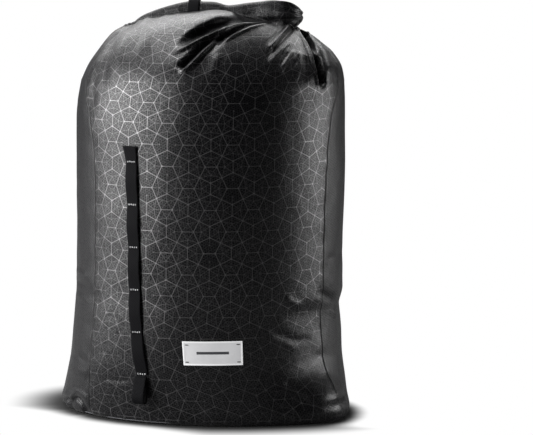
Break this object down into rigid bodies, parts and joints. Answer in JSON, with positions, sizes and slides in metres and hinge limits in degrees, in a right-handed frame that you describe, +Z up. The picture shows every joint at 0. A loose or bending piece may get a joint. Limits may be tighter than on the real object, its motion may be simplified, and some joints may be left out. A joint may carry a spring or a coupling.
{
  "type": "roll-top compression sack",
  "caption": "Standing roll-top sack of coated cloth with a rolled mouth buckled into a ring, a webbing daisy chain and a small patch.",
  "frame": {"origin": "on the floor under the middle of the sack, at the base panel's underside", "axes": "+Z up, printed front with the daisy chain faces -Y, +X to the right seen from the front"},
  "size_m": [0.2875, 0.2629, 0.4098],
  "materials": {
    "printed_cloth": "satin",
    "plain_cloth": "satin",
    "seam_tape": "satin",
    "webbing": "matte",
    "thread": "matte",
    "dark_thread": "matte",
    "reflective_patch": "satin",
    "buckle_plastic": "satin",
    "stiffener_plastic": "satin"
  },
  "bodies": {
    "sack": {"front_panel": "printed_cloth", "right_side_panel": "plain_cloth", "back_panel": "printed_cloth", "left_side_panel": "plain_cloth", "base_panel": "plain_cloth", "base_seam_tape": "seam_tape", "seam_tape_front_right": "seam_tape", "seam_tape_back_right": "seam_tape", "seam_tape_back_left": "seam_tape", "seam_tape_front_left": "seam_tape", "daisy_chain_webbing": "webbing", "daisy_bar_tacks": "thread", "label_patch": "reflective_patch", "label_stitches": "dark_thread"},
    "neck": {"collar_neck": "plain_cloth"},
    "closure": {"rolled_collar": "plain_cloth", "rim_stiffener": "stiffener_plastic", "roll_keeper_loop": "webbing", "right_closure_strap": "webbing", "left_closure_strap": "webbing", "buckle_socket": "buckle_plastic"},
    "plug": {"buckle_plug": "buckle_plastic"},
    "prong_upper": {"buckle_prong_upper": "buckle_plastic"},
    "prong_lower": {"buckle_prong_lower": "buckle_plastic"},
    "daisy_anchor": {"daisy_anchor_tack": "thread"},
    "end_loop": {"daisy_end_loop": "webbing"}
  },
  "joints": [
    {"name": "compress", "type": "slide", "parent": "sack", "child": "neck", "axis": [0, 0, -1], "range_m": [0, 0.115], "stiffness_N_per_m": 300, "springref_m": -0.012, "deforming": ["front_panel", "right_side_panel", "back_panel", "left_side_panel", "seam_tape_front_right", "seam_tape_back_right", "seam_tape_back_left", "seam_tape_front_left", "daisy_chain_webbing", "daisy_bar_tacks", "label_patch", "label_stitches"]},
    {"name": "closure_tilt", "type": "hinge", "parent": "neck", "child": "closure", "pos_m": [0.00378, 0.00098, 0.39009], "axis": [0.9781, -0.2079, 0], "range_deg": [0, 70]},
    {"name": "buckle_unclip", "type": "slide", "parent": "closure", "child": "plug", "axis": [-0.9781, 0.2079, 0], "range_m": [0, 0.02], "deforming": ["left_closure_strap", "buckle_prong_upper", "buckle_prong_lower"]},
    {"name": "prong_upper_squeeze", "type": "hinge", "parent": "plug", "child": "prong_upper", "pos_m": [0.00709, 0.08389, 0.39192], "axis": [0.2048, 0.9633, -0.1736], "range_deg": [0, 9], "stiffness_Nm_per_rad": 0.4, "springref_deg": -2.86},
    {"name": "prong_lower_squeeze", "type": "hinge", "parent": "plug", "child": "prong_lower", "pos_m": [0.00637, 0.0805, 0.37222], "axis": [0.2048, 0.9633, -0.1736], "range_deg": [-9, 0]},
    {"name": "daisy_anchor_drop", "type": "slide", "parent": "sack", "child": "daisy_anchor", "axis": [0, 0, -1], "range_m": [0, 0.0159]},
    {"name": "end_loop_swing", "type": "hinge", "parent": "daisy_anchor", "child": "end_loop", "pos_m": [-0.07462, -0.11238, 0.0471], "axis": [-0.8368, 0.5476, 0], "range_deg": [0, 75]}
  ],
  "couplings": [
    {"joint": "prong_lower_squeeze", "follows": "prong_upper_squeeze", "ratio": -1},
    {"joint": "daisy_anchor_drop", "follows": "compress", "ratio": 0.1341}
  ]
}
